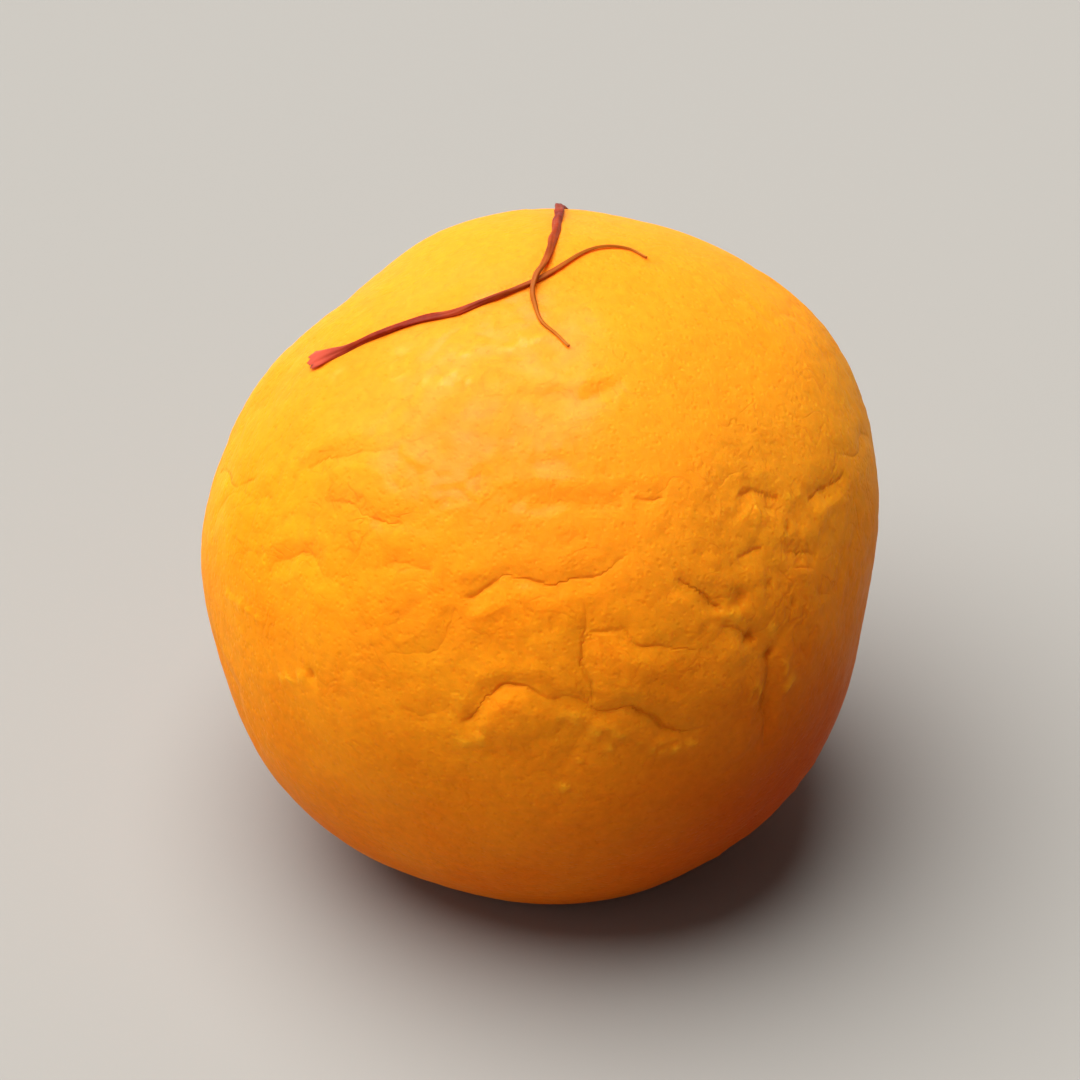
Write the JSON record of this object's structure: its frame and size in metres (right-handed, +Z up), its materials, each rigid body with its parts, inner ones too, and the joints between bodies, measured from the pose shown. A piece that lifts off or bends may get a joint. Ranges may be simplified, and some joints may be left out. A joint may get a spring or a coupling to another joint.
{
  "type": "orange rasgulla",
  "caption": "Round spongy fresh-cheese sweet soaked in saffron syrup: a soft orange ball with a creased skin, a flat foot to rest on and two crossing saffron threads stuck to its crown.",
  "frame": {"origin": "middle of the bounding box in X and Y, on the flat foot that the ball rests on", "axes": "+Z up from the foot to the crown, -Y towards the viewer, +X to the viewer's right"},
  "size_m": [0.0506, 0.0502, 0.048],
  "materials": {
    "sponge": "moist spongy cheese curd with a thin film of syrup, wetter and deeper orange towards the foot",
    "saffron": "wet crimson plant fibre, glossy, paler red at the flared tip"
  },
  "bodies": {
    "root": {"rasgulla": "sponge"}
  },
  "joints": []
}
